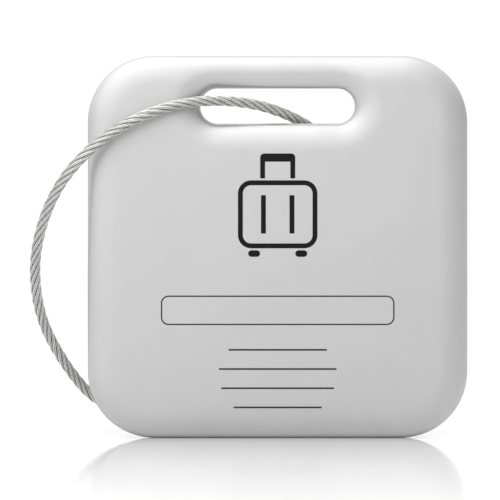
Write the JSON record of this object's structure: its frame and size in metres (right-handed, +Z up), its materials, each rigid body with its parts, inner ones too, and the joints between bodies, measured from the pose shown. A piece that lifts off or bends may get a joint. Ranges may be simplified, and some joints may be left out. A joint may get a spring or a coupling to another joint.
{
  "type": "luggage tag",
  "caption": "Square metal luggage tag with soft edges and a strap slot, on a wire rope loop closed by a screw connector; engraved suitcase emblem and blank rules.",
  "frame": {"origin": "on the floor under the middle of the tag's bottom edge, at mid-thickness", "axes": "+X to the right as seen from the front, -Y is the engraved front face, +Z up the tag towards its strap slot"},
  "size_m": [0.0804, 0.028, 0.07],
  "materials": {
    "satin_steel": "fine bead-blasted satin",
    "core_board": "matt",
    "black_enamel": "semi-matt",
    "grey_enamel": "semi-matt",
    "wire_rope": "bright drawn wire",
    "connector_steel": "turned, with a straight knurl"
  },
  "bodies": {
    "tag_body": {"front_shell": "satin_steel", "back_shell": "satin_steel", "core_plate": "core_board", "emblem_case_infill": "black_enamel", "emblem_handle_infill": "black_enamel", "emblem_wheel_infill": "black_enamel", "name_field_infill": "grey_enamel", "address_rule_infill_1": "grey_enamel", "address_rule_infill_2": "grey_enamel", "address_rule_infill_3": "grey_enamel", "address_rule_infill_4": "grey_enamel"},
    "cable_loop": {"cable": "wire_rope", "plain_ferrule": "connector_steel"},
    "screw_barrel": {"knurled_barrel": "connector_steel"},
    "stud_end": {"threaded_ferrule": "connector_steel"}
  },
  "joints": [
    {"name": "loop_swing", "type": "hinge", "parent": "tag_body", "child": "cable_loop", "pos_m": [-0.0025, 0, 0.0606], "axis": [0.8277, 0, 0.5612], "range_deg": [-3, 100]},
    {"name": "barrel_turn", "type": "hinge", "parent": "cable_loop", "child": "screw_barrel", "pos_m": [-0.01153, 0.01792, 0.00387], "axis": [-0.9735, -0.1871, -0.1316], "range_deg": [0, 2160]},
    {"name": "stud_withdraw", "type": "slide", "parent": "cable_loop", "child": "stud_end", "axis": [0.9735, 0.1871, 0.1316], "range_m": [0, 0.003]}
  ],
  "couplings": [
    {"joint": "barrel_turn", "follows": "stud_withdraw", "rad_per_m": 12566}
  ]
}
